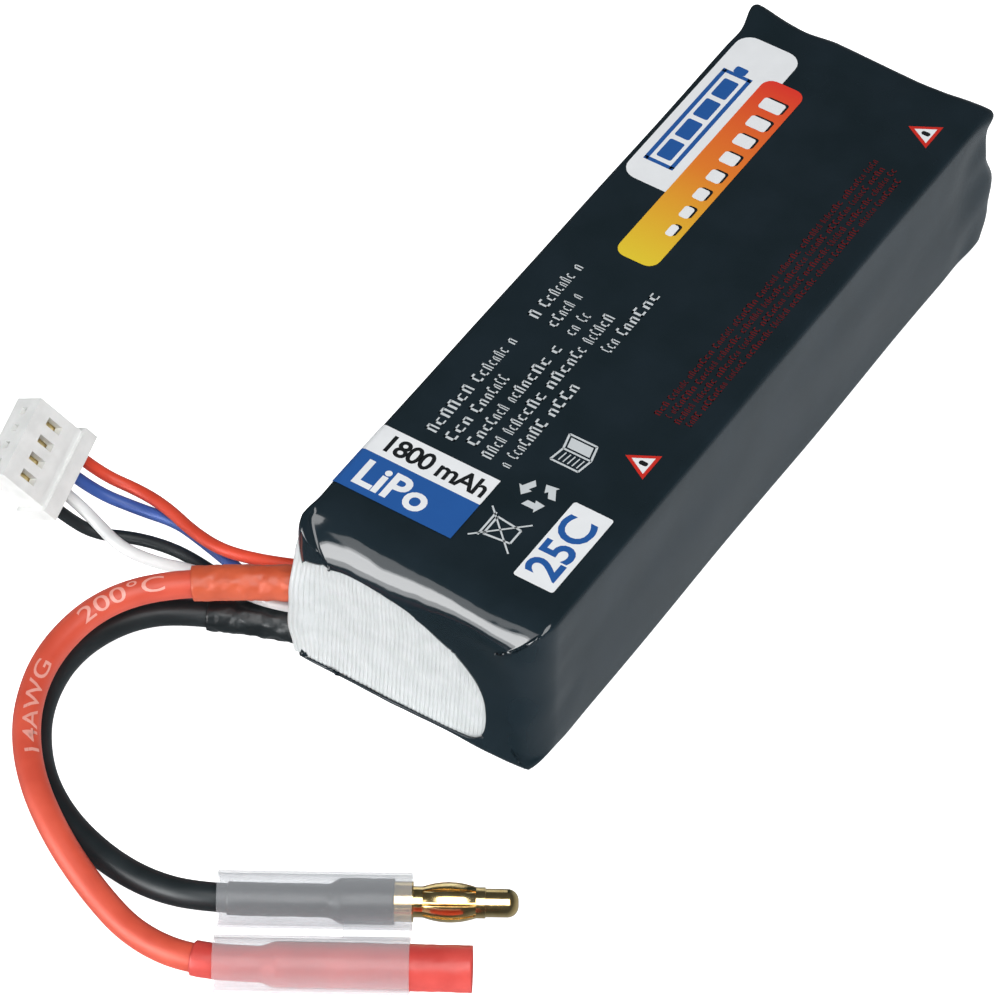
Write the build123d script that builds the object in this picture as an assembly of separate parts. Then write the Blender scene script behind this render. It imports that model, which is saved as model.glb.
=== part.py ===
"""Three-cell lithium-polymer battery pack with a bullet plug, a bullet socket and a balance connector.

Millimetres. The origin is under the middle of the wrapped pack, +Z is up and the pack's long side
runs along X. The leads leave at the front-left corner (-X, +Y) and lie on the same surface.
"""
from build123d import *
import math
import os

# ---- pack ---------------------------------------------------------------------------------
PACK_LENGTH = 107.0
PACK_WIDTH = 34.0
PACK_HEIGHT = 24.0
FILM_WALL = 0.4
FILM_EDGE_RADIUS = 2.0
FILM_END_RADIUS = 1.2

# The front end of the film is open over the tape: (y, z) round the hole's edge.
FRONT_OPENING = [
    (16.6, 17.2), (11.5, 18.6), (4.0, 18.2), (-1.5, 17.0), (-5.5, 14.2), (-9.0, 11.0),
    (-10.5, 6.0), (-9.5, 1.6), (0.0, 1.0), (16.6, 1.0),
]
CORNER_CUT_LENGTH = 6.5
CORNER_CUT_BOTTOM = 0.3
CORNER_CUT_TOP = 17.2
REAR_OPENING_WIDTH = 24.0
REAR_OPENING_HEIGHT = 16.0

# ---- cells --------------------------------------------------------------------------------
CELL_COUNT = 3
CELL_WIDTH = 32.4
CELL_THICKNESS = 7.4
CELL_FRONT_X = -40.0
CELL_REAR_X = 50.5
CELL_EDGE_RADIUS = 1.6
CELL_BASE_Z = 0.6
SEAL_LENGTH = 3.0
SEAL_THICKNESS = 1.0
PAD_THICKNESS = 0.3
PAD_LENGTH = 70.0
PAD_WIDTH = 24.0

TAB_WIDTH = 8.0
TAB_THICKNESS = 0.2
TAB_Y = 8.5
TAB_TIP_X = -44.2
TAB_ROOT_X = -41.0

BOARD_THICKNESS = 1.0
BOARD_FACE_X = -44.2
BOARD_WIDTH = 31.0
BOARD_HEIGHT = 21.6
SLOT_CLEARANCE = 0.1

TAPE_THICKNESS = 0.5
TAPE_RIB_PITCH = 0.6
TAPE_RIB_DEPTH = 0.15
TAPE_RIGHT_Y = -15.4
TAPE_LEFT_Y = 14.8
TAPE_BOTTOM_Z = 0.6
TAPE_TOP_Z = 22.6
FOAM_THICKNESS = 2.0

LABEL_THICKNESS = 0.1
CAPACITY_LABEL_BOX = (-45.3, -34.3, 0.2, 15.6)
RATING_LABEL_BOX = (-45.9, -32.2, -14.8, -9.1)

# ---- leads, wires and what is on them -------------------------------------------------------
LEAD_DIAMETER = 3.5
WIRE_DIAMETER = 1.6
CORE_DIAMETER = 2.4
JOINT_LENGTH = 3.0
EXIT_SLEEVE_DIAMETER = 4.4
EXIT_SLEEVE_START = 4.3
EXIT_SLEEVE_END = 15.0
FIT = 0.05

GUARD_LENGTH = 23.0
GUARD_OUTER = 6.8
GUARD_INNER = 6.2
GUARD_PITCH = 9.5
GUARD_WEB_LENGTH = 8.0
GUARD_WEB_THICKNESS = 1.4
GUARD_ORIGIN = (-96.4, -0.4)
GUARD_HEADING = -58.0

# Distances along the plug and the socket from the guard's wire end.
LEAD_BEND_AT = -1.5
LEAD_END_AT = 6.0
SLEEVE_START_AT = 2.2
NECK_START_AT = 6.4
BARREL_START_AT = 14.5
PLUG_SLEEVE_END_AT = 20.1
PLUG_BASE_END_AT = 23.1
SOCKET_MOUTH_AT = 29.0
SOCKET_SLEEVE_END_AT = 29.6
NECK_DIAMETER = 3.5
CUP_DIAMETER = 2.5
BARREL_DIAMETER = 4.8
SOCKET_DIAMETER = 4.9
SOCKET_BORE = 4.0
SOCKET_BORE_DEPTH = 9.5
SLEEVE_NECK_OUTER = 4.1
PLUG_SLEEVE_OUTER = 5.3
SOCKET_SLEEVE_OUTER = 5.6
CAGE_LENGTH = 8.5
CAGE_RING_LENGTH = 1.1
CAGE_END_DIAMETER = 3.7
CAGE_BELLY_DIAMETER = 4.8
CAGE_WALL = 0.22
CAGE_LEAVES = 8
CAGE_SLOT_WIDTH = 0.45
CORE_PIN_DIAMETER = 2.7
NOSE_DIAMETER = 3.4
NOSE_LENGTH = 3.9
RUNNING_CLEARANCE = 0.03

# ---- balance connector --------------------------------------------------------------------
CONNECTOR_ORIGIN = (-51.5, 54.7, 7.3)
CONNECTOR_ACROSS = (-0.947, -0.153, -0.281)
CONNECTOR_MATING = (-0.319, 0.518, 0.794)
HOUSING_WIDTH = 12.4
HOUSING_THICKNESS = 5.75
HOUSING_DEPTH = 9.8
FLANGE_DEPTH = 2.2
BODY_INSET = 0.55
CONTACT_PITCH = 2.5
CONTACT_COUNT = 4
CAVITY_SIZE = 1.9
CONTACT_SIZE = 1.5
WIRE_END_AT = 1.5
CONTACT_END_AT = 8.8

CENTRE_Z = GUARD_OUTER / 2
CELL_PITCH = CELL_THICKNESS + PAD_THICKNESS

guard_plane = Plane(
    origin=(GUARD_ORIGIN[0], GUARD_ORIGIN[1], CENTRE_Z),
    x_dir=(math.cos(math.radians(GUARD_HEADING)), math.sin(math.radians(GUARD_HEADING)), 0),
    z_dir=(0, 0, 1),
)
connector_plane = Plane(origin=CONNECTOR_ORIGIN, x_dir=CONNECTOR_ACROSS, z_dir=CONNECTOR_MATING)


def axis_point(side, along):
    """A point on the plug's axis (side 1) or the socket's (side -1), measured from the guard's wire end."""
    point = guard_plane.from_local_coords(Vector(along, side * GUARD_PITCH / 2, 0))
    return (point.X, point.Y, point.Z)


def connector_point(number, along):
    """A point on the line of one contact of the balance connector; negative is on the wire side."""
    across = (number - (CONTACT_COUNT - 1) / 2) * CONTACT_PITCH
    point = connector_plane.from_local_coords(Vector(across, 0, along))
    return (point.X, point.Y, point.Z)


# ---- routes: the points of each centre line, from inside the pack outwards -------------------
LEAD_POSITIVE_ROUTE = [
    (-48.0, -4.0, 11.5), (-48.0, 5.0, 11.5), (-49.6, 13.5, 11.5), (-58.8, 31.0, 9.8),
    (-65.5, 38.0, 8.3), (-74.5, 39.8, 6.7), (-83.0, 37.2, 5.8), (-90.2, 31.5, 5.6),
    (-95.5, 24.0, 4.6), (-98.9, 16.0, 2.6), (-101.6, 7.4, 2.1),
    axis_point(-1, LEAD_BEND_AT), axis_point(-1, LEAD_END_AT),
]
LEAD_NEGATIVE_ROUTE = [
    (-48.2, -4.0, 2.6), (-48.2, 5.0, 2.6), (-50.0, 14.0, 2.5), (-56.6, 31.0, 2.2),
    (-61.3, 37.3, 1.9), (-69.5, 40.3, 1.8), (-78.5, 38.7, 1.8), (-86.0, 33.7, 1.8),
    (-91.0, 27.0, 1.8), (-93.7, 19.2, 1.8), (-94.5, 11.0, 2.1),
    axis_point(1, LEAD_BEND_AT), axis_point(1, LEAD_END_AT),
]
BALANCE_ROUTES = {
    "red": [
        (-46.4, 3.0, 14.6), (-46.4, 8.5, 14.6), (-47.2, 14.0, 13.4), (-49.3, 19.5, 11.2),
        (-51.0, 25.5, 9.4), (-49.6, 31.0, 8.0), (-48.0, 36.5, 6.3), (-46.5, 42.0, 4.6),
        (-45.2, 47.2, 3.5), connector_point(0, -4.5), connector_point(0, WIRE_END_AT),
    ],
    "blue": [
        (-48.3, 3.0, 8.7), (-48.3, 8.5, 8.7), (-49.2, 14.0, 8.5), (-51.6, 19.5, 7.6),
        (-51.8, 25.0, 6.4), (-49.8, 30.5, 5.0), (-48.0, 36.0, 4.0), (-46.5, 41.0, 2.9),
        (-46.9, 46.3, 2.2), connector_point(1, -4.5), connector_point(1, WIRE_END_AT),
    ],
    "white": [
        (-48.6, 3.0, 6.5), (-48.6, 8.5, 6.5), (-49.8, 14.0, 6.3), (-52.4, 19.5, 6.0),
        (-53.2, 25.0, 5.4), (-51.8, 30.2, 3.4), (-51.3, 35.2, 1.9), (-52.6, 40.0, 1.6),
        (-53.6, 44.6, 2.5), (-52.0, 49.2, 2.7), connector_point(2, -3.0),
        connector_point(2, WIRE_END_AT),
    ],
    "black": [
        (-46.0, 3.0, 4.9), (-46.0, 8.5, 4.9), (-46.8, 14.0, 3.8), (-48.6, 19.0, 1.8),
        (-50.1, 24.2, 1.0), (-50.0, 29.4, 0.8), (-49.2, 34.4, 0.8), (-48.9, 39.6, 0.8),
        (-50.0, 44.8, 0.8), (-52.3, 49.2, 0.9), connector_point(3, -3.6),
        connector_point(3, WIRE_END_AT),
    ],
}
BALANCE_ORDER = ["red", "blue", "white", "black"]


def export(shape, name):
    """Write one sub-part and print its volume."""
    export_step(shape, f"parts/{name}.step")
    print(f"{name}: {shape.volume:.1f} mm3")


def box_between(x0, x1, y0, y1, z0, z1):
    """A box from its lowest corner to its highest corner."""
    return Pos((x0 + x1) / 2, (y0 + y1) / 2, (z0 + z1) / 2) * Box(x1 - x0, y1 - y0, z1 - z0)


def along_axis(side, start, end, outer, inner=0.0):
    """A round bar or tube on the plug's or the socket's axis."""
    solid = Cylinder(outer / 2, end - start)
    if inner:
        solid -= Cylinder(inner / 2, end - start + 1)
    middle = axis_point(side, (start + end) / 2)
    return Pos(*middle) * Rot(0, 0, GUARD_HEADING) * Rot(0, 90, 0) * solid


def route_tube(points, diameter, name):
    """A round tube along straight runs joined by arcs as large as the runs allow."""
    vectors = [Vector(*point) for point in points]
    runs = [b - a for a, b in zip(vectors, vectors[1:])]
    radii = []
    for before, after in zip(runs, runs[1:]):
        half_turn = math.radians(before.get_angle(after)) / 2
        radii.append(0.45 * min(before.length, after.length) / math.tan(half_turn))
    path = FilletPolyline(*points, radius=radii)
    start = Plane(origin=points[0], z_dir=runs[0].normalized())
    tube = sweep(start * Circle(diameter / 2), path=path)
    expected = math.pi * diameter**2 / 4 * path.length
    lengths = ", ".join(f"{run.length:.1f}" for run in runs)
    print(f"{name}: runs {lengths}")
    print(f"  radii {', '.join(f'{radius:.1f}' for radius in radii)}")
    print(f"  length {path.length:.1f}, volume {tube.volume:.1f}, section x length {expected:.1f}")
    return tube


def make_film():
    """The shrink film: a thin rounded box, open where the tape shows and where the leads come out."""
    outer = box_between(-PACK_LENGTH / 2, PACK_LENGTH / 2, -PACK_WIDTH / 2, PACK_WIDTH / 2, 0, PACK_HEIGHT)
    outer = fillet(outer.edges().filter_by(Axis.X), FILM_EDGE_RADIUS)
    outer = fillet(outer.edges().filter_by(Axis.X, reverse=True), FILM_END_RADIUS)
    inner_half_length = PACK_LENGTH / 2 - FILM_WALL
    inner_half_width = PACK_WIDTH / 2 - FILM_WALL
    inner = box_between(
        -inner_half_length, inner_half_length, -inner_half_width, inner_half_width,
        FILM_WALL, PACK_HEIGHT - FILM_WALL,
    )
    inner = fillet(inner.edges().filter_by(Axis.X), FILM_EDGE_RADIUS - FILM_WALL)
    film = outer - inner
    outline = make_face(Polyline(*[(y, z) for y, z in FRONT_OPENING], close=True))
    front_plane = Plane(origin=(-PACK_LENGTH / 2 - 1, 0, 0), x_dir=(0, 1, 0), z_dir=(1, 0, 0))
    film -= extrude(front_plane * outline, 3)
    film -= box_between(
        -PACK_LENGTH / 2 - 1, -PACK_LENGTH / 2 + CORNER_CUT_LENGTH,
        PACK_WIDTH / 2 - 2.5, PACK_WIDTH / 2 + 1, CORNER_CUT_BOTTOM, CORNER_CUT_TOP,
    )
    film -= box_between(
        PACK_LENGTH / 2 - 1, PACK_LENGTH / 2 + 1, -REAR_OPENING_WIDTH / 2, REAR_OPENING_WIDTH / 2,
        (PACK_HEIGHT - REAR_OPENING_HEIGHT) / 2, (PACK_HEIGHT + REAR_OPENING_HEIGHT) / 2,
    )
    return film


def make_cell(base_z, tabs):
    """One pouch cell with the flat seal at its front, slotted for its two tabs."""
    middle_z = base_z + CELL_THICKNESS / 2
    half_width = CELL_WIDTH / 2
    body = box_between(CELL_FRONT_X, CELL_REAR_X, -half_width, half_width, base_z, base_z + CELL_THICKNESS)
    body = fillet(body.edges(), CELL_EDGE_RADIUS)
    seal = box_between(
        CELL_FRONT_X - SEAL_LENGTH, CELL_FRONT_X + 2, -half_width + 2, half_width - 2,
        middle_z - SEAL_THICKNESS / 2, middle_z + SEAL_THICKNESS / 2,
    )
    cell = body + seal
    for tab in tabs:
        cell -= tab
    return cell


def make_tab(side, base_z):
    """One flat tab, from inside the pouch seal to just past the board."""
    middle_z = base_z + CELL_THICKNESS / 2
    return box_between(
        TAB_TIP_X, TAB_ROOT_X, side * TAB_Y - TAB_WIDTH / 2, side * TAB_Y + TAB_WIDTH / 2,
        middle_z - TAB_THICKNESS / 2, middle_z + TAB_THICKNESS / 2,
    )


def make_board():
    """The circuit board across the cells' front, slotted for the six tabs."""
    board = box_between(
        BOARD_FACE_X, BOARD_FACE_X + BOARD_THICKNESS, -BOARD_WIDTH / 2, BOARD_WIDTH / 2,
        (PACK_HEIGHT - BOARD_HEIGHT) / 2, (PACK_HEIGHT + BOARD_HEIGHT) / 2,
    )
    for index in range(CELL_COUNT):
        middle_z = CELL_BASE_Z + index * CELL_PITCH + CELL_THICKNESS / 2
        for side in (1, -1):
            half_slot = TAB_WIDTH / 2 + SLOT_CLEARANCE
            half_gap = TAB_THICKNESS / 2 + SLOT_CLEARANCE
            board -= box_between(
                BOARD_FACE_X - 1, BOARD_FACE_X + 2, side * TAB_Y - half_slot, side * TAB_Y + half_slot,
                middle_z - half_gap, middle_z + half_gap,
            )
    return board


def make_tape(outer_x, inner_x, right_y, left_y):
    """A strip of ribbed tape across one end, with its ribs on the outside."""
    step = 1 if outer_x > inner_x else -1
    tape = box_between(
        min(outer_x, inner_x), max(outer_x, inner_x), right_y, left_y, TAPE_BOTTOM_Z, TAPE_TOP_Z,
    )
    groove_count = int((left_y - right_y) / TAPE_RIB_PITCH)
    groove_x = outer_x - step * TAPE_RIB_DEPTH
    for index in range(1, groove_count):
        middle_y = right_y + index * TAPE_RIB_PITCH
        tape -= box_between(
            min(groove_x, outer_x + step), max(groove_x, outer_x + step),
            middle_y - TAPE_RIB_PITCH / 6, middle_y + TAPE_RIB_PITCH / 6, 0, PACK_HEIGHT,
        )
    return tape


def make_solder_joint(end, diameter):
    """A block of solder on the board that holds the end of one lead or wire."""
    x, y, z = end
    half = diameter / 2
    return box_between(x - half, BOARD_FACE_X, y - JOINT_LENGTH, y, z - half, z + half)


def make_exit_sleeve(route):
    """The shrink sleeve over a lead's straight stretch where it leaves the pack."""
    start = Vector(*route[2])
    direction = (Vector(*route[3]) - start).normalized()
    plane = Plane(origin=start + direction * EXIT_SLEEVE_START, z_dir=direction)
    ring = Circle(EXIT_SLEEVE_DIAMETER / 2) - Circle(LEAD_DIAMETER / 2 + FIT)
    return extrude(plane * ring, EXIT_SLEEVE_END - EXIT_SLEEVE_START)


def make_stepped_sleeve(side, end, wide_outer, barrel, lip_bore):
    """The shrink sleeve over a lead's end and the barrel of its plug or socket."""
    sleeve = along_axis(side, SLEEVE_START_AT, BARREL_START_AT, SLEEVE_NECK_OUTER)
    sleeve += along_axis(side, BARREL_START_AT - 1.5, end, wide_outer)
    sleeve -= along_axis(side, SLEEVE_START_AT - 1, BARREL_START_AT + 1, LEAD_DIAMETER + 2 * FIT)
    sleeve -= along_axis(side, BARREL_START_AT - 0.1, min(end, SOCKET_MOUTH_AT) + 0.05, barrel + 2 * FIT)
    if lip_bore:
        sleeve -= along_axis(side, SOCKET_MOUTH_AT, end + 1, lip_bore)
    return sleeve


def make_plug_pin():
    """The solid gold pin: solder cup, barrel, thin core under the cage, and domed nose."""
    cage_end = PLUG_BASE_END_AT + CAGE_LENGTH + 2 * RUNNING_CLEARANCE
    pin = along_axis(1, NECK_START_AT, BARREL_START_AT + 1, NECK_DIAMETER)
    pin += along_axis(1, BARREL_START_AT, PLUG_BASE_END_AT, BARREL_DIAMETER)
    pin += along_axis(1, PLUG_BASE_END_AT - 1, cage_end + 1, CORE_PIN_DIAMETER)
    nose = along_axis(1, cage_end, cage_end + NOSE_LENGTH, NOSE_DIAMETER)
    tip = axis_point(1, cage_end + NOSE_LENGTH)
    tip_edges = nose.edges().filter_by(GeomType.CIRCLE).sort_by_distance(tip)
    pin += fillet(tip_edges[0], NOSE_DIAMETER / 2 - 0.35)
    pin -= along_axis(1, NECK_START_AT - 1, BARREL_START_AT - 0.5, CUP_DIAMETER)
    return pin


def make_cage():
    """The sprung cage: two rings joined by bowed leaves, free to turn on the core."""
    inner_radius = CORE_PIN_DIAMETER / 2 + RUNNING_CLEARANCE
    end_radius = CAGE_END_DIAMETER / 2
    belly_radius = CAGE_BELLY_DIAMETER / 2
    half = CAGE_LENGTH / 2
    ring = half - CAGE_RING_LENGTH
    outer_arc = ThreePointArc((end_radius, -ring), (belly_radius, 0), (end_radius, ring))
    profile = make_face(
        Wire([
            Edge.make_line((inner_radius, -half), (end_radius, -half)),
            Edge.make_line((end_radius, -half), (end_radius, -ring)),
            outer_arc.edge(),
            Edge.make_line((end_radius, ring), (end_radius, half)),
            Edge.make_line((end_radius, half), (inner_radius, half)),
            Edge.make_line((inner_radius, half), (inner_radius, -half)),
        ])
    )
    cage = revolve(Plane.XZ * profile, Axis.Z)
    hollow_end = end_radius - CAGE_WALL
    hollow_arc = ThreePointArc((hollow_end, -ring), (belly_radius - CAGE_WALL, 0), (hollow_end, ring))
    hollow = make_face(
        Wire([
            Edge.make_line((0, -ring), (hollow_end, -ring)),
            hollow_arc.edge(),
            Edge.make_line((hollow_end, ring), (0, ring)),
            Edge.make_line((0, ring), (0, -ring)),
        ])
    )
    cage -= revolve(Plane.XZ * hollow, Axis.Z)
    for index in range(CAGE_LEAVES):
        slot = Pos(belly_radius, 0, 0) * Box(2 * belly_radius - 2.6, CAGE_SLOT_WIDTH, 2 * ring)
        cage -= Rot(0, 0, index * 360 / CAGE_LEAVES) * slot
    middle = axis_point(1, PLUG_BASE_END_AT + RUNNING_CLEARANCE + half)
    return Pos(*middle) * Rot(0, 0, GUARD_HEADING) * Rot(0, 90, 0) * cage


def make_socket():
    """The gold socket: solder cup behind, round bore in front."""
    socket = along_axis(-1, NECK_START_AT, BARREL_START_AT + 1, NECK_DIAMETER)
    socket += along_axis(-1, BARREL_START_AT, SOCKET_MOUTH_AT, SOCKET_DIAMETER)
    socket -= along_axis(-1, NECK_START_AT - 1, BARREL_START_AT - 0.5, CUP_DIAMETER)
    socket -= along_axis(-1, SOCKET_MOUTH_AT - SOCKET_BORE_DEPTH, SOCKET_MOUTH_AT + 1, SOCKET_BORE)
    return socket


def make_guard():
    """The clear double tube that slides over the plug and the socket."""
    guard = along_axis(1, 0, GUARD_LENGTH, GUARD_OUTER) + along_axis(-1, 0, GUARD_LENGTH, GUARD_OUTER)
    web_middle = guard_plane.from_local_coords(Vector(GUARD_LENGTH - GUARD_WEB_LENGTH / 2, 0, 0))
    web = Box(GUARD_WEB_LENGTH, GUARD_PITCH - GUARD_INNER, GUARD_WEB_THICKNESS)
    guard += Pos(web_middle) * Rot(0, 0, GUARD_HEADING) * web
    for side in (1, -1):
        guard -= along_axis(side, -1, GUARD_LENGTH + 1, GUARD_INNER)
    return guard


def make_housing():
    """The balance connector's body: a flange on the wire side and four cavities with windows."""
    body_width = HOUSING_WIDTH - 2 * BODY_INSET
    body_thickness = HOUSING_THICKNESS - 2 * BODY_INSET
    housing = Pos(0, 0, FLANGE_DEPTH / 2) * Box(HOUSING_WIDTH, HOUSING_THICKNESS, FLANGE_DEPTH)
    housing += Pos(0, 0, HOUSING_DEPTH / 2) * Box(body_width, body_thickness, HOUSING_DEPTH)
    for number in range(CONTACT_COUNT):
        across = (number - (CONTACT_COUNT - 1) / 2) * CONTACT_PITCH
        cavity_depth = CONTACT_END_AT + FIT
        housing -= Pos(across, 0, cavity_depth / 2 - 0.5) * Box(CAVITY_SIZE, CAVITY_SIZE, cavity_depth + 1)
        housing -= Pos(across, 0, HOUSING_DEPTH) * Box(1.0, 1.0, 4)
        housing -= Pos(across, body_thickness / 2, 6.2) * Box(1.1, body_thickness, 2.5)
    return connector_plane * housing


def make_contact(number):
    """One crimped contact, hollow towards the mating end."""
    across = (number - (CONTACT_COUNT - 1) / 2) * CONTACT_PITCH
    length = CONTACT_END_AT - WIRE_END_AT
    middle = (CONTACT_END_AT + WIRE_END_AT) / 2
    contact = Pos(across, 0, middle) * Box(CONTACT_SIZE, CONTACT_SIZE, length)
    contact -= Pos(across, 0, CONTACT_END_AT) * Box(0.8, 0.8, 9)
    return connector_plane * contact


def make_label(box):
    """A thin printed sticker on the top face."""
    x0, x1, y0, y1 = box
    label = box_between(x0, x1, y0, y1, PACK_HEIGHT, PACK_HEIGHT + LABEL_THICKNESS)
    return fillet(label.edges().filter_by(Axis.Z), 0.5)


def main():
    os.makedirs("parts", exist_ok=True)
    export(make_film(), "shrink_film")

    for index in range(CELL_COUNT):
        base_z = CELL_BASE_Z + index * CELL_PITCH
        tabs = {"positive": make_tab(1, base_z), "negative": make_tab(-1, base_z)}
        export(make_cell(base_z, tabs.values()), f"cell_pouch_{index + 1}")
        for pole, tab in tabs.items():
            export(tab, f"cell_tab_{pole}_{index + 1}")
        if index:
            pad_top = base_z
            pad = box_between(
                -PAD_LENGTH / 2, PAD_LENGTH / 2, -PAD_WIDTH / 2, PAD_WIDTH / 2,
                pad_top - PAD_THICKNESS, pad_top,
            )
            export(pad, f"adhesive_pad_{index}")

    export(make_board(), "connection_board")
    film_inside = PACK_LENGTH / 2 - FILM_WALL
    tape_inside = film_inside - TAPE_THICKNESS
    export(make_tape(-film_inside, -tape_inside, TAPE_RIGHT_Y, TAPE_LEFT_Y), "front_end_tape")
    export(make_tape(film_inside, tape_inside, TAPE_RIGHT_Y, -TAPE_RIGHT_Y), "rear_end_tape")
    foam = box_between(
        tape_inside - FOAM_THICKNESS, tape_inside, TAPE_RIGHT_Y, -TAPE_RIGHT_Y, TAPE_BOTTOM_Z, TAPE_TOP_Z,
    )
    export(foam, "rear_foam_pad")
    export(make_label(CAPACITY_LABEL_BOX), "capacity_label")
    export(make_label(RATING_LABEL_BOX), "rating_label")

    leads = {"positive": (LEAD_POSITIVE_ROUTE, -1), "negative": (LEAD_NEGATIVE_ROUTE, 1)}
    for pole, (route, side) in leads.items():
        export(route_tube(route, LEAD_DIAMETER, f"power_lead_{pole}"), f"power_lead_{pole}")
        export(make_solder_joint(route[0], LEAD_DIAMETER), f"solder_joint_{pole}")
        export(make_exit_sleeve(route), f"exit_sleeve_{pole}")
        core = along_axis(side, LEAD_END_AT, BARREL_START_AT - 0.6, CORE_DIAMETER)
        export(core, f"lead_core_end_{pole}")

    for number, colour in enumerate(BALANCE_ORDER):
        route = BALANCE_ROUTES[colour]
        export(route_tube(route, WIRE_DIAMETER, f"balance_wire_{colour}"), f"balance_wire_{colour}")
        export(make_solder_joint(route[0], WIRE_DIAMETER), f"solder_joint_{colour}")
        export(make_contact(number), f"balance_contact_{number + 1}")
    export(make_housing(), "balance_housing")

    export(make_stepped_sleeve(1, PLUG_SLEEVE_END_AT, PLUG_SLEEVE_OUTER, BARREL_DIAMETER, 0), "plug_sleeve")
    export(
        make_stepped_sleeve(-1, SOCKET_SLEEVE_END_AT, SOCKET_SLEEVE_OUTER, SOCKET_DIAMETER, SOCKET_BORE + 0.4),
        "socket_sleeve",
    )
    export(make_plug_pin(), "plug_pin")
    export(make_cage(), "plug_cage")
    export(make_socket(), "socket_barrel")
    export(make_guard(), "twin_guard")


main()
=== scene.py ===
"""Looks of the three-cell lithium-polymer battery pack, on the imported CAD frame."""
import math
import bpy
import bmesh
from mathutils import Matrix, Vector, noise


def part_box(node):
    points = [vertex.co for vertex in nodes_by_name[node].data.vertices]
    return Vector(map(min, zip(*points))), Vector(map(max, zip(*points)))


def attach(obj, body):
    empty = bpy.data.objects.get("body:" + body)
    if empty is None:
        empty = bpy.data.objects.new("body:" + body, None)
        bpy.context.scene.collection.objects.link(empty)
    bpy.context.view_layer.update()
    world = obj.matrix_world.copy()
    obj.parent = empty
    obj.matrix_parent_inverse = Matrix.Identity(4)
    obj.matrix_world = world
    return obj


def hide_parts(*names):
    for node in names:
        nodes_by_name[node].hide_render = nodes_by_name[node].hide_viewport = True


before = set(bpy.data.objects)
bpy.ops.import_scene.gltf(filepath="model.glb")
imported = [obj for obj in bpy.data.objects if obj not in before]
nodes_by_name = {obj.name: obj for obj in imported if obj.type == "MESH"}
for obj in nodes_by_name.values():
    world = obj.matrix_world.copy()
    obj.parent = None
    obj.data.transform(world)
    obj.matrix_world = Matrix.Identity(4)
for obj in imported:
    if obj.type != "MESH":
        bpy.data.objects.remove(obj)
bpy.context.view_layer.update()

scene = bpy.context.scene


# ---- camera -------------------------------------------------------------------------------
CAMERA_HEADING = math.radians(-56.4)
CAMERA_HEIGHT_ANGLE = math.radians(48.58)
CAMERA_ROLL = math.radians(-0.36)
CAMERA_PLACE = Vector((-0.40066, -0.24308, 0.51915))
LENS_MM = 196.9
SENSOR_WIDTH_MM = 36


def make_camera():
    camera = bpy.data.objects.new("camera", bpy.data.cameras.new("camera"))
    scene.collection.objects.link(camera)
    back = Vector((
        math.sin(CAMERA_HEADING) * math.cos(CAMERA_HEIGHT_ANGLE),
        -math.cos(CAMERA_HEADING) * math.cos(CAMERA_HEIGHT_ANGLE),
        math.sin(CAMERA_HEIGHT_ANGLE),
    ))
    right = Vector((math.cos(CAMERA_HEADING), math.sin(CAMERA_HEADING), 0))
    up = back.cross(right)
    level = Matrix((right, up, back)).transposed().to_4x4()
    turn = level @ Matrix.Rotation(CAMERA_ROLL, 4, "Z")
    camera.matrix_world = Matrix.Translation(CAMERA_PLACE) @ turn
    camera.data.lens = LENS_MM
    camera.data.sensor_width = SENSOR_WIDTH_MM
    camera.data.clip_start = 0.01
    camera.data.clip_end = 20
    camera.data.dof.use_dof = False
    scene.camera = camera


# ---- materials ----------------------------------------------------------------------------
class Material:
    """A node material with its principled shader, and short ways to add to it."""

    def __init__(self, name, color, roughness, metallic=0.0, specular=0.5):
        self.data = bpy.data.materials.new(name)
        self.data.use_nodes = True
        self.tree = self.data.node_tree
        self.shader = self.tree.nodes["Principled BSDF"]
        self.shader.inputs["Base Color"].default_value = (*color, 1)
        self.shader.inputs["Roughness"].default_value = roughness
        self.shader.inputs["Metallic"].default_value = metallic
        self.shader.inputs["Specular IOR Level"].default_value = specular

    def add(self, kind, **inputs):
        node = self.tree.nodes.new(kind)
        for key, value in inputs.items():
            node.inputs[key.replace("_", " ")].default_value = value
        return node

    def link(self, a, b):
        self.tree.links.new(a, b)

    def place(self):
        return self.add("ShaderNodeTexCoord").outputs["Object"]

    def noise(self, scale, detail=3.0):
        node = self.add("ShaderNodeTexNoise", Scale=scale, Detail=detail)
        self.link(self.place(), node.inputs["Vector"])
        return node.outputs["Fac"]

    def ramp(self, value, low, high, low_color, high_color):
        node = self.add("ShaderNodeValToRGB")
        self.link(value, node.inputs["Fac"])
        node.color_ramp.elements[0].position = low
        node.color_ramp.elements[0].color = (*low_color, 1)
        node.color_ramp.elements[1].position = high
        node.color_ramp.elements[1].color = (*high_color, 1)
        return node.outputs["Color"]

    def bump(self, value, distance, strength=1.0):
        node = self.add("ShaderNodeBump", Strength=strength, Distance=distance)
        self.link(value, node.inputs["Height"])
        previous = self.shader.inputs["Normal"].links
        if previous:
            self.link(previous[0].from_socket, node.inputs["Normal"])
        self.link(node.outputs["Normal"], self.shader.inputs["Normal"])

    def vary_color(self, scale, low_color, high_color, low=0.35, high=0.65):
        color = self.ramp(self.noise(scale), low, high, low_color, high_color)
        self.link(color, self.shader.inputs["Base Color"])

    def vary_roughness(self, scale, low, high):
        node = self.add("ShaderNodeMapRange")
        node.inputs["To Min"].default_value = low
        node.inputs["To Max"].default_value = high
        self.link(self.noise(scale), node.inputs["Value"])
        self.link(node.outputs["Result"], self.shader.inputs["Roughness"])


def film_material():
    material = Material("film", (0.010, 0.019, 0.025), 0.09)
    material.vary_color(120, (0.009, 0.017, 0.022), (0.012, 0.021, 0.028))
    material.vary_roughness(300, 0.06, 0.13)
    material.bump(material.noise(260, 2), 0.00004)
    return material.data


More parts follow.
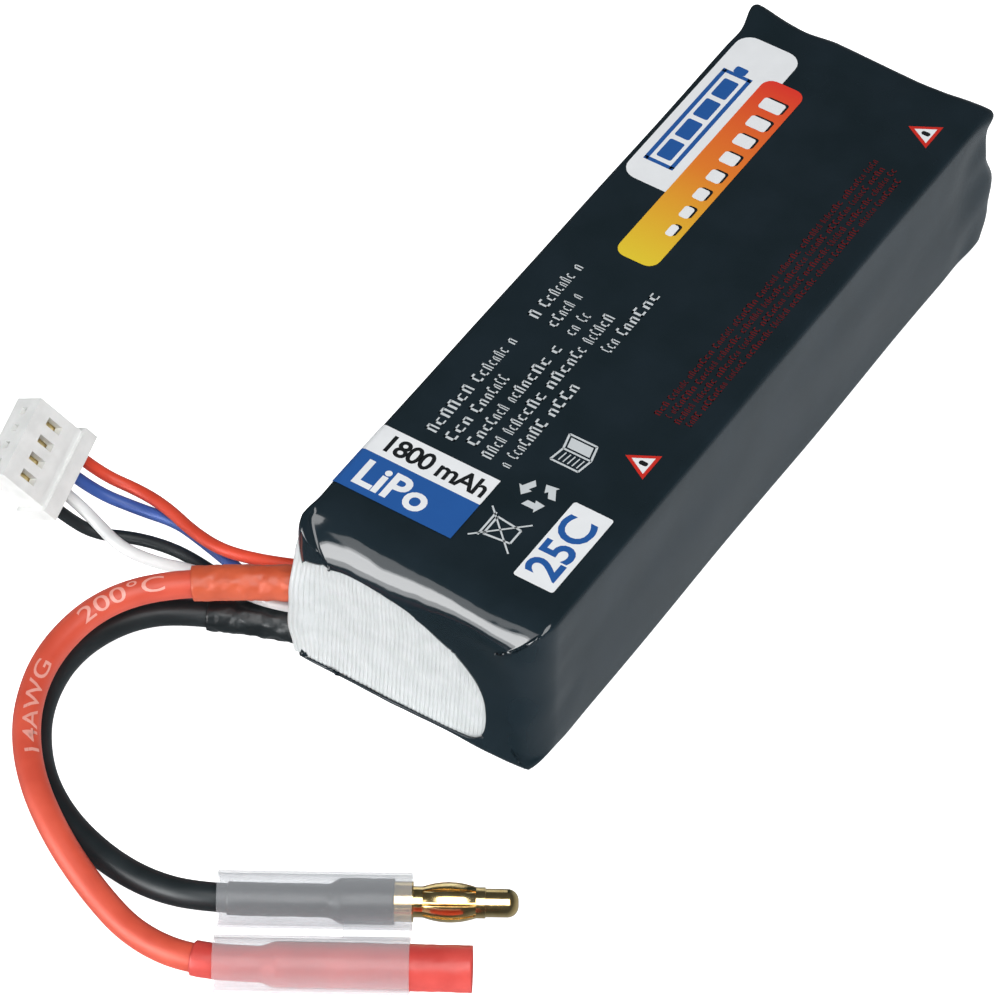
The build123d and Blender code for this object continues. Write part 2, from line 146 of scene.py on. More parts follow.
def tape_material():
    material = Material("ribbed_tape", (0.58, 0.61, 0.61), 0.42)
    material.vary_color(500, (0.55, 0.585, 0.59), (0.61, 0.64, 0.65))
    material.bump(material.noise(3000, 3), 0.00002)
    material.shader.inputs["Sheen Weight"].default_value = 0.2
    material.shader.inputs["Subsurface Weight"].default_value = 0.15
    material.shader.inputs["Subsurface Radius"].default_value = (0.0006, 0.0006, 0.0006)
    return material.data


def silicone(name, low_color, high_color, roughness=0.42):
    material = Material(name, high_color, roughness, specular=0.32)
    material.vary_color(150, low_color, high_color)
    material.vary_roughness(500, roughness - 0.06, roughness + 0.06)
    material.bump(material.noise(1800, 3), 0.00001)
    material.bump(material.noise(250, 2), 0.00003)
    return material.data


def shrink(name, low_color, high_color, roughness=0.38):
    material = Material(name, high_color, roughness, specular=0.35)
    material.vary_color(220, low_color, high_color)
    material.vary_roughness(400, roughness - 0.08, roughness + 0.08)
    material.bump(material.noise(450, 3), 0.00006)
    material.bump(material.noise(2500, 2), 0.000008)
    return material.data


def gold():
    material = Material("gold", (0.93, 0.70, 0.32), 0.16, metallic=1.0)
    material.vary_color(700, (0.88, 0.64, 0.27), (0.97, 0.77, 0.40))
    material.vary_roughness(1500, 0.10, 0.24)
    material.bump(material.noise(3000, 3), 0.000004)
    return material.data


def nylon():
    material = Material("nylon", (0.80, 0.81, 0.80), 0.35)
    material.vary_color(400, (0.76, 0.77, 0.76), (0.84, 0.85, 0.84))
    material.bump(material.noise(1500, 3), 0.00001)
    material.shader.inputs["Subsurface Weight"].default_value = 0.3
    material.shader.inputs["Subsurface Radius"].default_value = (0.0012, 0.0012, 0.0012)
    return material.data


def clear_vinyl():
    material = Material("clear_vinyl", (0.74, 0.76, 0.79), 0.28)
    facing = material.add("ShaderNodeLayerWeight", Blend=0.35)
    cover = material.add("ShaderNodeMapRange")
    cover.inputs["To Min"].default_value = 0.14
    cover.inputs["To Max"].default_value = 0.55
    material.link(facing.outputs["Facing"], cover.inputs["Value"])
    clear = material.add("ShaderNodeBsdfTransparent")
    clear.inputs["Color"].default_value = (0.96, 0.965, 0.97, 1)
    mix = material.add("ShaderNodeMixShader")
    material.link(cover.outputs["Result"], mix.inputs["Fac"])
    material.link(clear.outputs["BSDF"], mix.inputs[1])
    material.link(material.shader.outputs["BSDF"], mix.inputs[2])
    material.link(mix.outputs["Shader"], material.tree.nodes["Material Output"].inputs["Surface"])
    material.bump(material.noise(900, 3), 0.00004)
    return material.data


def plain(name, color, roughness=0.4, metallic=0.0, scale=600, spread=0.06):
    material = Material(name, color, roughness, metallic)
    low = tuple(max(channel * (1 - spread), 0) for channel in color)
    high = tuple(min(channel * (1 + spread), 1) for channel in color)
    material.vary_color(scale, low, high)
    material.bump(material.noise(scale * 3, 3), 0.000006)
    return material.data


# ---- meshes -------------------------------------------------------------------------------
def finish_piece(obj, material, body, replaced=()):
    scene.collection.objects.link(obj)
    obj.data.materials.clear()
    obj.data.materials.append(material)
    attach(obj, body)
    if replaced:
        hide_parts(*replaced)
    return obj


def grid_mesh(name, rows, closed_rows=False):
    """A mesh from equal rows of points; closed_rows joins each row's ends."""
    width = len(rows[0])
    points = [point for row in rows for point in row]
    faces = []
    for i in range(len(rows) - 1):
        for j in range(width if closed_rows else width - 1):
            k = (j + 1) % width
            faces.append((i * width + j, i * width + k, (i + 1) * width + k, (i + 1) * width + j))
    mesh = bpy.data.meshes.new(name)
    mesh.from_pydata(points, [], faces)
    mesh.validate()
    for polygon in mesh.polygons:
        polygon.use_smooth = True
    return mesh


def smoothstep(low, high, value):
    t = min(max((value - low) / (high - low), 0.0), 1.0)
    return t * t * (3 - 2 * t)


# ---- cords --------------------------------------------------------------------------------
GUARD_ORIGIN = Vector((-0.0964, -0.0004, 0.0034))
GUARD_HEADING = math.radians(-58.0)
GUARD_PITCH = 0.0095
guard_along = Vector((math.cos(GUARD_HEADING), math.sin(GUARD_HEADING), 0))
guard_left = Vector((-math.sin(GUARD_HEADING), math.cos(GUARD_HEADING), 0))
CONNECTOR_ORIGIN = Vector((-0.0515, 0.0547, 0.0073))
connector_mating = Vector((-0.319, 0.518, 0.794)).normalized()
across = Vector((-0.947, -0.153, -0.281))
connector_across = (across - across.dot(connector_mating) * connector_mating).normalized()
CONTACT_PITCH = 0.0025


def axis_point(side, along):
    return tuple(GUARD_ORIGIN + guard_along * along + guard_left * side * GUARD_PITCH / 2)


def connector_point(number, along):
    across_row = connector_across * (number - 1.5) * CONTACT_PITCH
    return tuple(CONNECTOR_ORIGIN + across_row + connector_mating * along)


LEAD_DIAMETER = 0.0035
WIRE_DIAMETER = 0.0016
LEAD_POSITIVE_ROUTE = [
    (-0.0480, -0.0040, 0.0115), (-0.0480, 0.0050, 0.0115), (-0.0496, 0.0135, 0.0115),
    (-0.0588, 0.0310, 0.0098), (-0.0655, 0.0380, 0.0083), (-0.0745, 0.0398, 0.0067),
    (-0.0830, 0.0372, 0.0058), (-0.0902, 0.0315, 0.0056), (-0.0955, 0.0240, 0.0046),
    (-0.0989, 0.0160, 0.0026), (-0.1016, 0.0074, 0.0021),
    axis_point(-1, -0.0015), axis_point(-1, 0.006),
]
LEAD_NEGATIVE_ROUTE = [
    (-0.0482, -0.0040, 0.0026), (-0.0482, 0.0050, 0.0026), (-0.0500, 0.0140, 0.0025),
    (-0.0566, 0.0310, 0.0022), (-0.0613, 0.0373, 0.0019), (-0.0695, 0.0403, 0.0018),
    (-0.0785, 0.0387, 0.0018), (-0.0860, 0.0337, 0.0018), (-0.0910, 0.0270, 0.0018),
    (-0.0937, 0.0192, 0.0018), (-0.0945, 0.0110, 0.0021), axis_point(1, -0.0015), axis_point(1, 0.006),
]
BALANCE_ROUTES = {
    "red": [
        (-0.0461, 0.0030, 0.0140), (-0.0460, 0.0085, 0.0130), (-0.0464, 0.0140, 0.0101),
        (-0.0474, 0.0195, 0.0086), (-0.0496, 0.0255, 0.0082), (-0.0503, 0.0310, 0.0073),
        (-0.0489, 0.0365, 0.0060), (-0.0465, 0.0420, 0.0046), (-0.0452, 0.0472, 0.0035),
        connector_point(0, -0.0045), connector_point(0, 0.0015),
    ],
    "blue": [
        (-0.0483, 0.0030, 0.0087), (-0.0483, 0.0085, 0.0087), (-0.0492, 0.0140, 0.0085),
        (-0.0516, 0.0195, 0.0076), (-0.0518, 0.0250, 0.0064), (-0.0498, 0.0305, 0.0050),
        (-0.0480, 0.0360, 0.0040), (-0.0465, 0.0410, 0.0029), (-0.0469, 0.0463, 0.0022),
        connector_point(1, -0.0045), connector_point(1, 0.0015),
    ],
    "white": [
        (-0.0486, 0.0030, 0.0065), (-0.0486, 0.0085, 0.0065), (-0.0498, 0.0140, 0.0063),
        (-0.0524, 0.0195, 0.0060), (-0.0532, 0.0250, 0.0054), (-0.0518, 0.0302, 0.0034),
        (-0.0513, 0.0352, 0.0019), (-0.0526, 0.0400, 0.0016), (-0.0536, 0.0446, 0.0025),
        (-0.0520, 0.0492, 0.0027), connector_point(2, -0.0030), connector_point(2, 0.0015),
    ],
    "black": [
        (-0.0460, 0.0030, 0.0049), (-0.0460, 0.0085, 0.0049), (-0.0468, 0.0140, 0.0038),
        (-0.0486, 0.0190, 0.0018), (-0.0501, 0.0242, 0.0010), (-0.0500, 0.0294, 0.0008),
        (-0.0492, 0.0344, 0.0008), (-0.0489, 0.0396, 0.0008), (-0.0500, 0.0448, 0.0008),
        (-0.0523, 0.0492, 0.0009), connector_point(3, -0.0036), connector_point(3, 0.0015),
    ],
}
BALANCE_ORDER = ["red", "blue", "white", "black"]
WIRE_EXIT_Y = 0.017


def make_cord(name, route, diameter, material, node):
    curve = bpy.data.curves.new(name, "CURVE")
    curve.dimensions = "3D"
    curve.bevel_depth = diameter / 2
    curve.bevel_resolution = 8
    curve.resolution_u = 12
    curve.use_fill_caps = True
    spline = curve.splines.new("NURBS")
    spline.points.add(len(route) - 1)
    for point, place in zip(spline.points, route):
        point.co = (*place, 1)
    spline.order_u = 3
    spline.use_endpoint_u = True
    return finish_piece(bpy.data.objects.new(name, curve), material, "pack", [node])


def mesh_from(obj):
    """The mesh that a curve or text object gives; the object itself is removed."""
    scene.collection.objects.link(obj)
    bpy.context.view_layer.update()
    depsgraph = bpy.context.evaluated_depsgraph_get()
    mesh = bpy.data.meshes.new_from_object(obj.evaluated_get(depsgraph))
    bpy.data.objects.remove(obj)
    return mesh


def path_of(cord):
    """The points of a cord's own centre line, read from its spline."""
    bare = cord.copy()
    bare.data = cord.data.copy()
    bare.data.bevel_depth = 0
    return [vertex.co.copy() for vertex in mesh_from(bare).vertices]


def path_frames(points):
    """(distance, point, along, side, over) at each point; over leans to +Z."""
    frames = []
    distance = 0.0
    for i, point in enumerate(points):
        along = (points[min(i + 1, len(points) - 1)] - points[max(i - 1, 0)]).normalized()
        side = along.cross(Vector((0, 0, 1))).normalized()
        if i:
            distance += (point - points[i - 1]).length
        frames.append((distance, point, along, side, side.cross(along)))
    return frames


def frame_at(frames, distance):
    """The frame between two stations of path_frames."""
    for before, after in zip(frames, frames[1:]):
        if after[0] >= distance:
            share = (distance - before[0]) / max(after[0] - before[0], 1e-9)
            return [b.lerp(a, share) for b, a in zip(before[1:], after[1:])]
    last = frames[-1]
    return [last[1] + last[2] * (distance - last[0]), *last[2:]]


def distance_where(frames, reached):
    """The distance of the first station that passes a test."""
    for station in frames:
        if reached(station[1]):
            return station[0]
    return frames[-1][0]


SLEEVE_WALL = 0.00025


def make_sleeve(name, frames, start, end, radius_at, wrinkle, seed, material, replaced):
    """A shrink sleeve round a path, with creases, rolled ends and the inside of each end."""
    wall = SLEEVE_WALL
    count = max(int((end - start) / 0.0003), 4)
    around = 40
    rows = []

    def ring(distance, radius, rough):
        point, along, side, over = frame_at(frames, distance)
        row = []
        for j in range(around):
            angle = 2 * math.pi * j / around
            spot = Vector((math.cos(angle) * 2.2, math.sin(angle) * 2.2, (distance - start) * 700))
            spot += seed
            r = radius + rough * (noise.noise(spot) + 0.5 * noise.noise(spot * 2.3))
            row.append(point + (side * math.cos(angle) + over * math.sin(angle)) * r)
        return row

    rows.append(ring(start + 0.0015, radius_at(0) - wall, 0))
    rows.append(ring(start, radius_at(0) - wall, 0))
    rows.append(ring(start, radius_at(0) - wall * 0.3, 0))
    for i in range(count + 1):
        distance = start + (end - start) * i / count
        rows.append(ring(distance, radius_at(distance - start), wrinkle))
    last_radius = radius_at(end - start)
    rows.append(ring(end, last_radius - wall * 0.3, 0))
    rows.append(ring(end, last_radius - wall, 0))
    rows.append(ring(end - 0.0015, last_radius - wall, 0))
    mesh = grid_mesh(name, rows, closed_rows=True)
    return finish_piece(bpy.data.objects.new(name, mesh), material, "pack", replaced)


def text_mesh(text, height, bold=0.0, spacing=1.0):
    """Flat letters as a mesh, one capital letter high."""
    curve = bpy.data.curves.new("letters", "FONT")
    curve.body = text
    curve.size = height / 0.69
    curve.offset = bold * curve.size
    curve.space_character = spacing
    curve.resolution_u = 4
    return mesh_from(bpy.data.objects.new("letters", curve))


PRINT_STRETCH = 1.6


def lead_print(name, frames, parts, radius, material):
    """Letters laid round a lead, each part at its own distance along it and angle round it."""
    pieces = []
    for text, start, angle, height in parts:
        mesh = text_mesh(text, height, 0.006)
        fine = bmesh.new()
        fine.from_mesh(mesh)
        bmesh.ops.triangulate(fine, faces=fine.faces)
        bmesh.ops.subdivide_edges(fine, edges=fine.edges, cuts=1)
        for vertex in fine.verts:
            point, along, side, over = frame_at(frames, start - vertex.co.x * PRINT_STRETCH)
            turn = angle + (vertex.co.y - height / 2) / radius
            vertex.co = point + (side * math.sin(turn) + over * math.cos(turn)) * radius
        fine.to_mesh(mesh)
        fine.free()
        pieces.append(mesh)
    return joined_piece(name, pieces, material)


# ---- film ---------------------------------------------------------------------------------
film_low, film_high = (Vector(corner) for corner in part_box("shrink_film"))
FILM_HALF_WIDTH = film_high.y + 0.0006
FILM_HEIGHT = film_high.z
FILM_FRONT_X = film_low.x
FILM_REAR_X = film_high.x + 0.0006
FILM_CORNER = 0.0009
FRONT_BEND_TOP = 0.0066
FRONT_BEND_RIGHT = 0.0046
FRONT_BEND_LEFT = 0.0016
FRONT_BEND_BOTTOM = 0.0007
REAR_BEND = 0.0016
REAR_LIP = 0.0032
FRONT_STRAIGHT_FROM = FILM_FRONT_X + 0.0095
OPENING_MIDDLE = Vector((0.003, 0.0085))
SIDE_OPENING_LENGTH = 0.0060
FRONT_ROWS = 56
REAR_ROWS = 8
LONG_ROW_SPACING = 0.0008
STATION_SPACING = 0.0005
FILM_THICKNESS = 0.00028

# The front opening's edge on the end face, from the left side over the top to the bottom: (y, z).
FRONT_OPENING = [
    (0.0172, 0.0172), (0.0150, 0.0180), (0.0115, 0.0189), (0.0080, 0.0191), (0.0043, 0.0187),
    (0.0021, 0.0182), (-0.0010, 0.0172), (-0.0032, 0.0158), (-0.0062, 0.0142), (-0.0085, 0.0118),
    (-0.0100, 0.0090), (-0.0106, 0.0060), (-0.0104, 0.0034), (-0.0092, 0.0016), (-0.0065, 0.0010),
    (0.0025, 0.0008), (0.0115, 0.0007), (0.0172, 0.0006),
]


def smooth_outline(points, repeats):
    """A closed outline with its corners rounded by corner cutting."""
    for _ in range(repeats):
        cut = []
        for a, b in zip(points, points[1:] + points[:1]):
            cut.append((a[0] * 0.75 + b[0] * 0.25, a[1] * 0.75 + b[1] * 0.25))
            cut.append((a[0] * 0.25 + b[0] * 0.75, a[1] * 0.25 + b[1] * 0.75))
        points = cut
    return [Vector(point) for point in points]


def ray_to_outline(origin, target, outline):
    """Where the ray from origin through target crosses a closed outline."""
    direction = (target - origin).normalized()
    best = None
    for a, b in zip(outline, outline[1:] + outline[:1]):
        side = b - a
        cross = direction.x * side.y - direction.y * side.x
        if abs(cross) < 1e-12:
            continue
        gap = a - origin
        reach = (gap.x * side.y - gap.y * side.x) / cross
        share = (gap.x * direction.y - gap.y * direction.x) / cross
        if reach > 0 and -1e-6 <= share <= 1 + 1e-6 and (best is None or reach > best):
            best = reach
    return origin + direction * best


class FilmRing:
    """Stations round the film's section, which can be shrunk inwards by any depth."""

    def __init__(self):
        self.stations = []
        half_y = FILM_HALF_WIDTH - FILM_CORNER
        half_z = FILM_HEIGHT / 2 - FILM_CORNER
        corners = [(1, 1, 0), (-1, 1, 90), (-1, -1, 180), (1, -1, 270)]
        for (sy, sz, first), (ny, nz, _) in zip(corners, corners[1:] + corners[:1]):
            for step in range(9):
                angle = math.radians(first + step * 10)
                self.stations.append((sy, sz, Vector((math.cos(angle), math.sin(angle)))))
            length = 2 * (half_y if sy != ny else half_z)
            count = int(length / STATION_SPACING)
            angle = math.radians(first + 90)
            normal = Vector((math.cos(angle), math.sin(angle)))
            for step in range(count):
                share = step / count
                self.stations.append((sy + (ny - sy) * share, sz + (nz - sz) * share, normal))

    def point(self, index, depth):
        """(y, z) of a station at a depth inside the outer section."""
        sy, sz, normal = self.stations[index]
        core = max(FILM_CORNER, depth)
        reach = max(FILM_CORNER - depth, 0)
        y = sy * (FILM_HALF_WIDTH - core) + normal.x * reach
        z = FILM_HEIGHT / 2 + sz * (FILM_HEIGHT / 2 - core) + normal.y * reach
        return Vector((y, z))


def front_bend(normal, y):
    """The front edge's bend radius for a wall that faces this way, tighter towards the right."""
    top = max(normal.y, 0) ** 2
    bottom = max(-normal.y, 0) ** 2
    right = max(-normal.x, 0) ** 2
    left = max(normal.x, 0) ** 2
    return (
        top * FRONT_BEND_TOP * (1 - 0.25 * smoothstep(0.004, -0.012, y))
        + bottom * FRONT_BEND_BOTTOM + right * FRONT_BEND_RIGHT + left * FRONT_BEND_LEFT
    )


def smooth_round(values, repeats):
    """Averages a closed row of values with their neighbours."""
    for _ in range(repeats):
        values = [
            (values[i - 1] + 2 * value + values[(i + 1) % len(values)]) / 4
            for i, value in enumerate(values)
        ]
    return values


def film_rows():
    """The film's points in rows from the front opening's edge to the rear opening's edge."""
    ring = FilmRing()
    count = len(ring.stations)
    outline = smooth_outline(FRONT_OPENING, 3)
    bends = smooth_round(
        [front_bend(station[2], ring.point(i, 0).x) for i, station in enumerate(ring.stations)], 40,
    )
    targets = []
    ends = []
    for i in range(count):
        full = ring.point(i, 0)
        inner = ring.point(i, bends[i])
        target = ray_to_outline(OPENING_MIDDLE, full, outline)
        straight = FRONT_STRAIGHT_FROM - FILM_FRONT_X - bends[i]
        turn = bends[i] * math.pi / 2
        depth = (full - target).dot(ring.stations[i][2])
        if depth > bends[i]:
            ends.append(straight + turn + (inner - target).length)
        elif depth > 0.0002:
            ends.append(straight + bends[i] * math.acos(1 - depth / bends[i]))
        else:
            ends.append(straight + bends[i] - SIDE_OPENING_LENGTH)
        targets.append(target)
    ends = smooth_round(ends, 10)

    def front_point(i, distance):
        bend = bends[i]
        straight = FRONT_STRAIGHT_FROM - FILM_FRONT_X - bend
        if distance <= straight:
            flat = ring.point(i, 0)
            return Vector((FRONT_STRAIGHT_FROM - distance, flat.x, flat.y))
        turn = (distance - straight) / bend
        if turn < math.pi / 2:
            flat = ring.point(i, bend * (1 - math.cos(turn)))
            return Vector((FILM_FRONT_X + bend - bend * math.sin(turn), flat.x, flat.y))
        inner = ring.point(i, bend)
        toward = targets[i] - inner
        past_bend = distance - straight - bend * math.pi / 2
        flat = inner + toward * min(past_bend / max(toward.length, 1e-6), 1.0)
        return Vector((FILM_FRONT_X, flat.x, flat.y))

    rows = []
    for k in range(FRONT_ROWS, 0, -1):
        rows.append([front_point(i, ends[i] * k / FRONT_ROWS) for i in range(count)])
    length = FILM_REAR_X - REAR_BEND - FRONT_STRAIGHT_FROM
    long_steps = int(length / LONG_ROW_SPACING)
    for k in range(long_steps):
        x = FRONT_STRAIGHT_FROM + length * k / long_steps
        rows.append([Vector((x, *ring.point(i, 0))) for i in range(count)])
    for k in range(REAR_ROWS + 1):
        turn = math.pi / 2 * k / REAR_ROWS
        x = FILM_REAR_X - REAR_BEND + REAR_BEND * math.sin(turn)
        depth = REAR_BEND * (1 - math.cos(turn))
        rows.append([Vector((x, *ring.point(i, depth))) for i in range(count)])
    for k in range(1, REAR_ROWS + 1):
        depth = REAR_BEND + REAR_LIP * k / REAR_ROWS
        rows.append([Vector((FILM_REAR_X, *ring.point(i, depth))) for i in range(count)])
    return rows


def fold_noise(place, waves, shift=(0, 0, 0)):
    """Noise with its own number of waves per metre along each axis."""
    return noise.noise(Vector([at * wave for at, wave in zip(place, waves)]) + Vector(shift))


def film_offset(place, normal):
    """How far the film stands out or in from its smooth shape."""
    near_front = smoothstep(0.014, 0.002, place.x - FILM_FRONT_X)
    near_rear = smoothstep(0.012, 0.001, FILM_REAR_X - place.x)
    top = smoothstep(0.6, 0.95, normal.z)
    side = smoothstep(0.5, 0.9, abs(normal.y))
    calm = 0.00003 * noise.noise(place * 60)
    long_waves = side * 0.00016 * fold_noise(place, (45, 10, 110))
    rear_folds = near_rear * 0.00042 * fold_noise(place, (160, 190, 190), (5, 2, 9))
    front_folds = near_front * (1 - 0.6 * top) * 0.00022 * fold_noise(place, (150, 120, 200))
    small = near_front * 0.00002 * noise.noise(place * 500)
    return calm + long_waves + rear_folds + front_folds + small


# Where the shrunk film stands out in ears and lumps: the middle, how far it spreads, and the push.
FILM_LUMPS = [
    ((0.0528, 0.0168, 0.0236), 0.0024, (0.0004, 0.0009, 0.0010)),
    ((0.0530, -0.0168, 0.0236), 0.0016, (0.0008, -0.0003, -0.0006)),
    ((0.0535, -0.0150, 0.0100), 0.0040, (0.0020, -0.0008, 0.0)),
    ((0.0535, -0.0160, 0.0040), 0.0030, (0.0012, -0.0004, 0.0)),
    ((-0.0500, 0.0168, 0.0215), 0.0014, (-0.0004, 0.0010, 0.0006)),
]


def foot_bulge(z):
    """How far the front end stands forward towards its foot."""
    return 0.0010 * smoothstep(0.012, 0.0, z)


def lump_push(place):
    push = Vector((-foot_bulge(place.z) * smoothstep(0.004, 0.0, place.x - FILM_FRONT_X), 0, 0))
    for middle, spread, amount in FILM_LUMPS:
        distance = (place - Vector(middle)).length / spread
        push += Vector(amount) * math.exp(-distance * distance)
    return push


def make_film(material):
    mesh = grid_mesh("film_wrap", film_rows(), closed_rows=True)
    shape = bmesh.new()
    shape.from_mesh(mesh)
    bmesh.ops.remove_doubles(shape, verts=shape.verts, dist=0.000005)
    bmesh.ops.recalc_face_normals(shape, faces=shape.faces)
    shape.normal_update()
    moves = [
        (vertex, vertex.normal * film_offset(vertex.co, vertex.normal) + lump_push(vertex.co))
        for vertex in shape.verts
    ]
    for vertex, move in moves:
        vertex.co += move
    shape.to_mesh(mesh)
    shape.free()
    film = bpy.data.objects.new("film_wrap", mesh)
    thickness = film.modifiers.new("thickness", "SOLIDIFY")
    thickness.thickness = FILM_THICKNESS
    thickness.offset = -1
    return finish_piece(film, material, "pack", ["shrink_film"])


# ---- ribbed tape ----------------------------------------------------------------------------
RIB_PITCH = 0.0006
RIB_DEPTH = 0.000055
TAPE_INSET = 0.00062
TAPE_BOW = 0.0017
TAPE_THICKNESS = 0.0003
TAPE_LEVELS = 90


def make_end_tape(material):
    """The front tape: fine ribs, rounded back under the film at its top, bowed out over the leads."""
    rows = []
    left_y = FILM_HALF_WIDTH + 0.0001
    right_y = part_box("front_end_tape")[0][1] + 0.0033
    bottom_z = 0.0007
    top_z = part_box("front_end_tape")[1][2] - 0.0002
    columns = int((left_y - right_y) / (RIB_PITCH / 6))
    for k in range(TAPE_LEVELS + 1):
        z = bottom_z + (top_z - bottom_z) * k / TAPE_LEVELS
        rise = max(z - (FILM_HEIGHT - FRONT_BEND_TOP - 0.0004), 0)
        back = FRONT_BEND_TOP - math.sqrt(max(FRONT_BEND_TOP**2 - rise**2, 0))
        row = []
        for j in range(columns + 1):
            y = right_y + (left_y - right_y) * j / columns
            bow = TAPE_BOW * smoothstep(0.0125, 0.0172, y)
            bow *= smoothstep(0.0, 0.008, z) * smoothstep(0.018, 0.012, z)
            spot = Vector((y * 130, z * 130, 3.1))
            wave = 0.00008 * noise.noise(spot) + 0.00003 * noise.noise(spot * 3)
            shift = 0.00012 * noise.noise(Vector((z * 260, 7.7, 1.2)))
            rib = RIB_DEPTH * math.cos(2 * math.pi * (y + shift) / RIB_PITCH)
            x = FILM_FRONT_X + TAPE_INSET + back - bow - wave - rib - foot_bulge(z)
            row.append(Vector((x, y, z)))
        rows.append(row)
    mesh = grid_mesh("ribbed_end_tape", rows)
    tape = bpy.data.objects.new("ribbed_end_tape", mesh)
    thickness = tape.modifiers.new("thickness", "SOLIDIFY")
    thickness.thickness = TAPE_THICKNESS
    thickness.offset = -1
    return finish_piece(tape, material, "pack", ["front_end_tape"])


# ---- print on the film ----------------------------------------------------------------------
PRINT_LIFT = 0.00005
PRINT_STEP = 0.00002


def place_letters(mesh, x, y, z, heading):
    """Moves a flat mesh so that its left baseline corner is at x, y and it reads along heading."""
    mesh.transform(Matrix.Translation((x, y, z)) @ Matrix.Rotation(heading, 4, "Z"))
    return mesh


def joined_piece(name, meshes, material, replaced=()):
    joined = bmesh.new()
    for mesh in meshes:
        joined.from_mesh(mesh)
    mesh = bpy.data.meshes.new(name)
    joined.to_mesh(mesh)
    joined.free()
    return finish_piece(bpy.data.objects.new(name, mesh), material, "pack", replaced)


def panel(x0, x1, y0, y1, z, radius=0.0, steps=6):
    """A flat rectangle with rounded corners."""
    points = []
    for cx, cy, first in ((x1, y1, 0), (x0, y1, 90), (x0, y0, 180), (x1, y0, 270)):
        inset_x = cx - math.copysign(radius, cx - (x0 + x1) / 2)
        inset_y = cy - math.copysign(radius, cy - (y0 + y1) / 2)
        for step in range(steps + 1 if radius else 1):
            angle = math.radians(first + 90 * step / steps)
            points.append((inset_x + radius * math.cos(angle), inset_y + radius * math.sin(angle), z))
    mesh = bpy.data.meshes.new("panel")
    mesh.from_pydata(points, [], [tuple(range(len(points)))])
    return mesh


def polygon(points, z):
    mesh = bpy.data.meshes.new("polygon")
    mesh.from_pydata([(x, y, z) for x, y in points], [], [tuple(range(len(points)))])
    return mesh


def bar(start, end, width, z):
    """A flat straight stroke."""
    a = Vector(start)
    b = Vector(end)
    side = (b - a).orthogonal().normalized() * width / 2
    return polygon([tuple(a - side), tuple(b - side), tuple(b + side), tuple(a + side)], z)


def greeked_line(x, y, z, length, height, seed):
    """A row of short strokes that stands for a line of small print."""
    strokes = []
    at = x
    index = seed
    while at < x + length:
        index += 1
        width = height * (0.35 + 0.5 * (0.5 + 0.5 * math.sin(index * 12.9898)))
        tall = height * (0.72 if math.sin(index * 4.1) > -0.2 else 1.0)
        if index % 7 == 0:
            at += height * 0.5
        strokes.append(panel(at, at + width * 0.28, y, y + tall, z))
        strokes.append(panel(at, at + width * 0.8, y + tall * 0.82, y + tall, z))
        if math.sin(index * 2.3) > 0:
            strokes.append(panel(at + width * 0.6, at + width * 0.84, y, y + tall * 0.9, z))
        else:
            strokes.append(panel(at, at + width * 0.8, y, y + tall * 0.18, z))
        at += width + height * 0.16
    return strokes


def bend_over_edge(mesh):
    """Lets print that runs past the flat top follow the film's rounded left edge."""
    edge_y = FILM_HALF_WIDTH - FILM_CORNER
    shape = bmesh.new()
    shape.from_mesh(mesh)
    for step in range(8):
        cut = Vector((0, edge_y + step * FILM_CORNER * 0.2, 0))
        everything = shape.verts[:] + shape.edges[:] + shape.faces[:]
        bmesh.ops.bisect_plane(shape, geom=everything, plane_co=cut, plane_no=(0, 1, 0))
    for vertex in shape.verts:
        over = vertex.co.y - edge_y
        if over > 0:
            turn = over / FILM_CORNER
            radius = FILM_CORNER + vertex.co.z - FILM_HEIGHT
            vertex.co.y = edge_y + radius * math.sin(turn)
            vertex.co.z = FILM_HEIGHT - FILM_CORNER + radius * math.cos(turn)
    shape.to_mesh(mesh)
    shape.free()
    return mesh


def make_capacity_label(white, blue, black):
    low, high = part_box("capacity_label")
    split_x = low[0] + 0.0064
    wrap_y = FILM_HALF_WIDTH + 0.0002
    z = high[2] + PRINT_LIFT
    white_part = bend_over_edge(panel(split_x, high[0], low[1], wrap_y, z))
    blue_part = bend_over_edge(panel(low[0], split_x, low[1], wrap_y, z))
    joined_piece("capacity_label_white", [white_part], white, ["capacity_label"])
    joined_piece("capacity_label_blue", [blue_part], blue)
    number = text_mesh("1800 mAh", 0.0027, 0.022, 0.9)
    place_letters(number, split_x + 0.0010, 0.0157, z + PRINT_STEP, math.radians(-90))
    joined_piece("capacity_number", [number], black)
    word = text_mesh("LiPo", 0.0040, 0.028)
    place_letters(word, low[0] + 0.0012, 0.0157, z + PRINT_STEP, math.radians(-90))
    joined_piece("cell_type_word", [word], white)


def make_rating_label(white, blue):
    low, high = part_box("rating_label")
    z = high[2] + PRINT_LIFT
    joined_piece(
        "rating_label_panel", [panel(low[0], high[0], low[1], high[1], z, 0.0004)],
        white, ["rating_label"],
    )
    rating = text_mesh("25C", 0.0043, 0.022)
    place_letters(rating, low[0] + 0.0013, low[1] + 0.0009, z + PRINT_STEP, 0)
    joined_piece("rating_number", [rating], blue)


def make_specification(white):
    """Five lines of small print, each with a short value at its right."""
    z = FILM_HEIGHT + PRINT_LIFT
    left_x = -0.0320
    lengths = (0.0175, 0.0120, 0.0188, 0.0216, 0.0160)
    values = (0.0092, 0.0060, 0.0036, 0.0047, 0.0110)
    strokes = []
    for i, (length, value) in enumerate(zip(lengths, values)):
        y = 0.0112 - i * 0.00268
        strokes += greeked_line(left_x, y, z, length, 0.0016, i * 17)
        strokes += greeked_line(-0.0092, y, z, value, 0.0016, i * 31 + 5)
    joined_piece("small_print_white", strokes, white)


